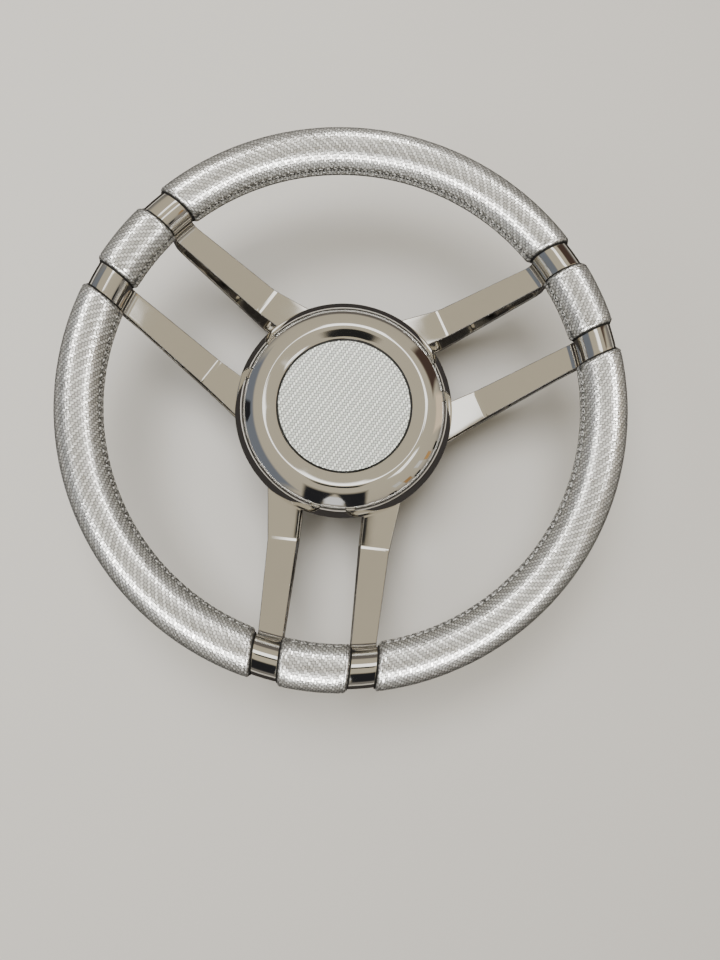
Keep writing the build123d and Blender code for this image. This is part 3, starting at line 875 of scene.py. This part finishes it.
def card(name, centre, width, height, facing, colour, strength, softness=0.3):
    """A card that only shows in reflections, and fades out over this last share of the way to its edges."""
    nodes = Nodes(name)
    split = nodes.add("ShaderNodeSeparateXYZ", {0: nodes.add("ShaderNodeTexCoord")}).node
    offsets = [nodes.math("MULTIPLY_ADD", split.outputs[axis], 2.0, -1.0) for axis in (0, 1)]
    sides = [nodes.math("ABSOLUTE", offset) for offset in offsets]
    inside = nodes.spread(nodes.math("MAXIMUM", *sides), 1 - softness, 1.0, 1.0, 0.0)
    nodes.set(Base_Color=(0, 0, 0, 1), Specular_IOR_Level=0.0, Alpha=inside)
    nodes.set(Emission_Color=colour, Emission_Strength=strength)
    plane = stage_plane(name, centre, width, height, facing, nodes.material)
    plane.visible_camera = False
    plane.visible_diffuse = False
    plane.visible_shadow = False


def area_light(name, place, target, width, height, power, colour):
    light = bpy.data.lights.new(name, "AREA")
    light.shape = "RECTANGLE"
    light.size = width
    light.size_y = height
    light.energy = power
    light.color = colour
    lamp = bpy.data.objects.new(name, light)
    lamp.location = place
    lamp.rotation_euler = (Vector(target) - Vector(place)).to_track_quat("-Z", "Y").to_euler()
    lamp.visible_camera = False
    bpy.context.scene.collection.objects.link(lamp)
    return lamp


def direction(bearing, elevation):
    """The way towards a bearing from +X and an elevation, both in degrees."""
    turn, lift = radians(bearing), radians(elevation)
    return Vector((cos(turn) * cos(lift), sin(turn) * cos(lift), sin(lift)))


pale_tones = ((0.62, 0.61, 0.59, 1), (0.66, 0.65, 0.63, 1))  # of the floor and the wall
floor_nodes = Nodes("floor")
floor_tone = floor_nodes.noise(floor_nodes.place(), 3.0)
floor_nodes.set(Base_Color=floor_nodes.mix(floor_tone, *pale_tones), Roughness=0.7)
stage_plane("floor", (0, 0, 0), 8.0, 8.0, (0, 0, 1), floor_nodes.material)


def build_wall(radius, height, cove_radius, turns=96):
    """A pale wall all round, curved up out of the floor, which only the camera sees."""
    nodes = Nodes("wall")
    tone = nodes.noise(nodes.place(), 2.0)
    colour = nodes.mix(tone, *pale_tones)
    nodes.set(Base_Color=colour, Roughness=0.8, Emission_Color=colour, Emission_Strength=0.5)
    profile = arc((radius - cove_radius, cove_radius), cove_radius, -90, 0, 12)
    profile.append((radius, height))
    points = []
    for step in range(turns):
        angle = tau * step / turns
        points.extend((r * cos(angle), r * sin(angle), z) for r, z in profile)
    mesh = bpy.data.meshes.new("wall")
    mesh.from_pydata(points, [], grid(turns, len(profile), True, False)[0])
    mesh.polygons.foreach_set("use_smooth", [True] * len(mesh.polygons))
    mesh.materials.append(nodes.material)
    wall = bpy.data.objects.new("wall", mesh)
    bpy.context.scene.collection.objects.link(wall)
    wall.visible_diffuse = False
    wall.visible_glossy = False
    wall.visible_shadow = False
    wall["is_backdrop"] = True


build_wall(3.6, 5.0, 0.8)

# Wide soft lights that polished faces don't mirror
room_middle = Vector((0, 0, 0.08))
for name, place, power, colour in (
    ("overhead", (-0.3, 0.4, 1.8), 42, (1.0, 0.98, 0.95)),
    ("side", (-1.6, -0.4, 1.2), 12, (0.94, 0.97, 1.0)),
):
    area_light(name, place, room_middle, 1.2, 1.0, power, colour).visible_glossy = False

# Ceiling lamps all round, which only the woven pieces catch, and only in their shine
lamp_reach = 1.2
lamp_size = 0.19
lamp_colour = (1.0, 0.985, 0.96)
# (bearing and elevation in degrees, power)
lamps = (
    (20, 44, 6),
    (55, 44, 6),
    (90, 28, 5),
    (125, 44, 5),
    (158, 44, 5),
    (215, 42, 7),
    (240, 44, 9),
    (270, 34, 10),
    (300, 44, 10),
    (324, 42, 7),
)
woven_pieces = bpy.data.collections.new("woven_pieces")
for piece in bpy.context.scene.collection.objects:
    if piece.name.startswith(("wrap_", "stitches_", "insert_")):
        woven_pieces.objects.link(piece)
for bearing, elevation, power in lamps:
    place = room_middle + direction(bearing, elevation) * lamp_reach
    lamp = area_light(f"lamp_{bearing}", place, room_middle, lamp_size, lamp_size, power, lamp_colour)
    lamp.light_linking.receiver_collection = woven_pieces
    lamp.visible_diffuse = False

# What polished faces mirror, as bearing, elevation, width and height in degrees, colour and strength
pale = (1.0, 0.98, 0.93)
black = (0.02, 0.02, 0.022)
mirrored_room = [
    ("lower_bend_glow", 90, 71, 14, 20, pale, 2.2),
    ("left_bend_glow", 350, 71, 12, 8, pale, 1.8),
    ("right_tab_glow", 60, 72.5, 16, 8, pale, 2.0),
    ("left_panel", 190, 28, 90, 50, (0.17, 0.185, 0.21), 1.0),
    ("left_dark", 178, 24, 14, 34, black, 1.0),
    ("right_brown", 44, 30, 22, 46, (0.07, 0.045, 0.035), 1.0),
    ("right_cream", 16, 26, 22, 38, (0.85, 0.68, 0.48), 1.0),
    ("photographer_left", 255, 40, 16, 60, black, 1.0),
    ("photographer_middle", 270, 38, 14, 34, (0.85, 0.84, 0.82), 1.0),
    ("photographer_right", 285, 40, 16, 60, black, 1.0),
    ("far_wall", 90, 14, 80, 28, (0.14, 0.125, 0.11), 1.0),
]
# A cluttered shelf to the right
clutter = (black, (0.5, 0.28, 0.1), (0.7, 0.68, 0.62), black, (0.35, 0.2, 0.08), (0.6, 0.58, 0.52), black)
for index, colour in enumerate(clutter):
    mirrored_room.append((f"shelf_{index}", 354 - 7 * index, 18 + 11 * (index % 3), 6, 13, colour, 1.0))
room_radius = 1.5
glow_reach = 1.2  # in front of the panels
for name, bearing, elevation, wide, high, colour, strength in mirrored_room:
    away = direction(bearing, elevation)
    reach = glow_reach if strength > 1 else room_radius
    sizes = [2 * reach * tan(radians(angle) / 2) for angle in (wide, high)]
    card(name, room_middle + away * reach, *sizes, -away, (*colour, 1), strength)
card("camera_and_hands", (0.0, -0.05, 0.56), 0.11, 0.07, (0, 0, -1), (0.02, 0.02, 0.02, 1), 1.0)
card("dark_floor", (0, 0, 0.0006), 1.4, 1.4, (0, 0, 1), (0.05, 0.045, 0.042, 1), 1.0)

# A beige ceiling over darker walls
world = bpy.data.worlds.new("studio")
bpy.context.scene.world = world
world.use_nodes = True
tree = world.node_tree
background = tree.nodes["Background"]
coordinates = tree.nodes.new("ShaderNodeTexCoord")
split = tree.nodes.new("ShaderNodeSeparateXYZ")
ramp = tree.nodes.new("ShaderNodeValToRGB")
tree.links.new(coordinates.outputs["Generated"], split.inputs[0])
tree.links.new(split.outputs[2], ramp.inputs[0])
tree.links.new(ramp.outputs[0], background.inputs[0])
# (sine of the angle above the horizon, red, green, blue)
stops = (
    (0.0, 0.16, 0.15, 0.14),
    (0.3, 0.25, 0.23, 0.2),
    (0.5, 0.5, 0.445, 0.335),
    (1.0, 0.54, 0.48, 0.36),
)
elements = ramp.color_ramp.elements
while len(elements) < len(stops):
    elements.new(1.0)
for element, (position, red, green, blue) in zip(elements, stops):
    element.position = position
    element.color = (red, green, blue, 1)

# The camera stands above the wheel, a little towards the lower spoke pair, and looks almost straight down.
camera_data = bpy.data.cameras.new("camera")
camera_data.sensor_width = 36.0
camera_data.lens = 27.04
camera = bpy.data.objects.new("camera", camera_data)
right = Vector((0.99308855, 0.11129123, 0.03727463))
up = Vector((-0.11445883, 0.98860394, 0.09778253))
back = right.cross(up)
camera_place = Vector((3.355, -91.715, 527.651)) * MM
camera.matrix_world = Matrix.Translation(camera_place) @ Matrix((right, up, back)).transposed().to_4x4()
bpy.context.scene.collection.objects.link(camera)
bpy.context.scene.camera = camera

low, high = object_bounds()
sizes = {"cad": [list(cad_low), list(cad_high)], "visual": [list(low), list(high)]}
